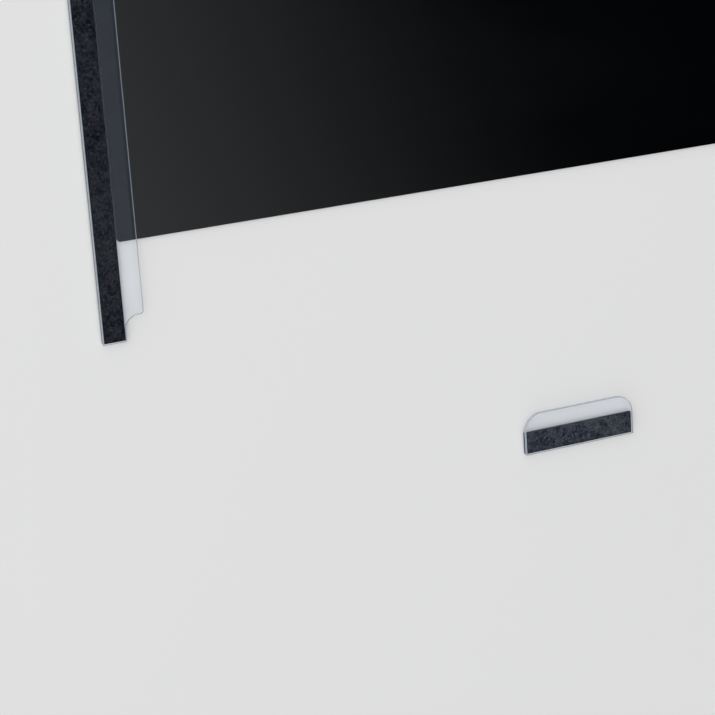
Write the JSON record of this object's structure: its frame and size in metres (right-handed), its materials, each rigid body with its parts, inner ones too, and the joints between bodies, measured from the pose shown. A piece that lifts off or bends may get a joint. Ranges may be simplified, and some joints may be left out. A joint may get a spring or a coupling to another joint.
{
  "type": "monitor privacy filter",
  "caption": "Dark rectangular privacy filter sheet that slides behind the lips of clear side strips and bottom tabs, each stuck down by an adhesive pad.",
  "frame": {"origin": "middle of the whole set's box across and along, on the plane that the pads stick to and the sheet's back lies on", "axes": "+X across the filter to the right, +Y along its height in the direction in which it slides out, +Z out of its front"},
  "size_m": [0.543, 0.3682, 0.0016],
  "materials": {
    "filter_film": "satin dark grey film",
    "clear_plastic": "clear, polished, with frosted cut edges",
    "adhesive_pad": "dark mottled adhesive"
  },
  "bodies": {
    "mounts": {"left_side_strip": "clear_plastic", "left_side_pad": "adhesive_pad", "left_bottom_tab": "clear_plastic", "left_bottom_pad": "adhesive_pad", "right_side_strip": "clear_plastic", "right_side_pad": "adhesive_pad", "right_bottom_tab": "clear_plastic", "right_bottom_pad": "adhesive_pad"},
    "filter": {"filter_sheet": "filter_film"}
  },
  "joints": [
    {"name": "filter_slide", "type": "slide", "parent": "mounts", "child": "filter", "axis": [0, 1, 0], "range_m": [-0.0636, 0.18]}
  ]
}
